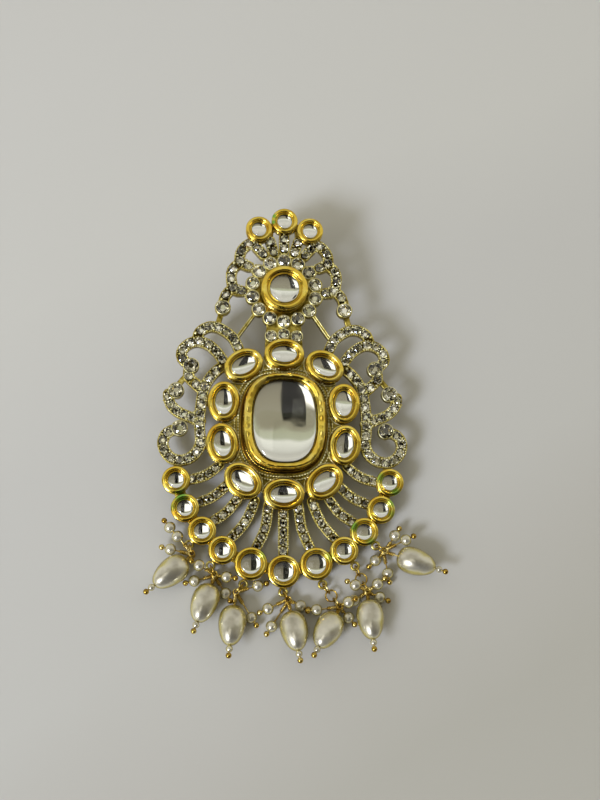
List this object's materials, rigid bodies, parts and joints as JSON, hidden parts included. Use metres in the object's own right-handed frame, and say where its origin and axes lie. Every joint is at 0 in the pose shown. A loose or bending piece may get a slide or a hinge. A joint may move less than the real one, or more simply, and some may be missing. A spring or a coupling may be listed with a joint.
{
  "type": "turban ornament",
  "caption": "Openwork turban ornament: a cast plate set with domed mirror stones and rows of cut stones, pearl clusters along its rim and a brooch pin behind.",
  "frame": {"origin": "middle of the brooch pin's stem, behind the casting", "axes": "+Y up the ornament, from the pearls to the crest; +X across it, to the right as it is seen; +Z out of its face"},
  "size_m": [0.0779, 0.122, 0.0185],
  "materials": {
    "antique_gold": "cast, gold-plated and slightly darkened in its hollows",
    "polished_gold": "bright polished gold plating",
    "gold_wire": "drawn wire, gold-plated",
    "pin_metal": "plain gold-plated",
    "mirror_glass": "clear glass with a silvered back, polished",
    "cut_glass": "cut and foil-backed",
    "pearl": "pearlescent lacquer on a bead"
  },
  "bodies": {
    "root": {"openwork_frame": "antique_gold", "brooch_pin": "pin_metal", "centre_setting": "polished_gold", "centre_stone": "mirror_glass", "crest_setting": "polished_gold", "crest_stone": "mirror_glass", "top_settings": "polished_gold", "top_stone_1": "mirror_glass", "top_stone_2": "mirror_glass", "top_stone_3": "mirror_glass", "oval_settings": "polished_gold", "oval_stone_1": "mirror_glass", "oval_stone_2": "mirror_glass", "oval_stone_3": "mirror_glass", "oval_stone_4": "mirror_glass", "oval_stone_5": "mirror_glass", "oval_stone_6": "mirror_glass", "oval_stone_7": "mirror_glass", "oval_stone_8": "mirror_glass", "oval_stone_9": "mirror_glass", "oval_stone_10": "mirror_glass", "rim_settings": "polished_gold", "rim_stone_1": "mirror_glass", "rim_stone_2": "mirror_glass", "rim_stone_3": "mirror_glass", "rim_stone_4": "mirror_glass", "rim_stone_5": "mirror_glass", "rim_stone_6": "mirror_glass", "rim_stone_7": "mirror_glass", "rim_stone_8": "mirror_glass", "rim_stone_9": "mirror_glass", "rim_stone_10": "mirror_glass", "rim_stone_11": "mirror_glass", "pave_crest": "cut_glass", "pave_left_scroll": "cut_glass", "pave_right_scroll": "cut_glass", "pave_ribs": "cut_glass", "drop_pearl_1": "pearl", "drop_pearl_2": "pearl", "drop_pearl_3": "pearl", "drop_pearl_4": "pearl", "drop_pearl_5": "pearl", "drop_pearl_6": "pearl", "drop_pearl_7": "pearl", "small_pearls_1": "pearl", "small_pearls_2": "pearl", "small_pearls_3": "pearl", "small_pearls_4": "pearl", "small_pearls_5": "pearl", "small_pearls_6": "pearl", "small_pearls_7": "pearl", "head_pins_1": "gold_wire", "head_pins_2": "gold_wire", "head_pins_3": "gold_wire", "head_pins_4": "gold_wire", "head_pins_5": "gold_wire", "head_pins_6": "gold_wire", "head_pins_7": "gold_wire", "jump_rings": "gold_wire"}
  },
  "joints": []
}
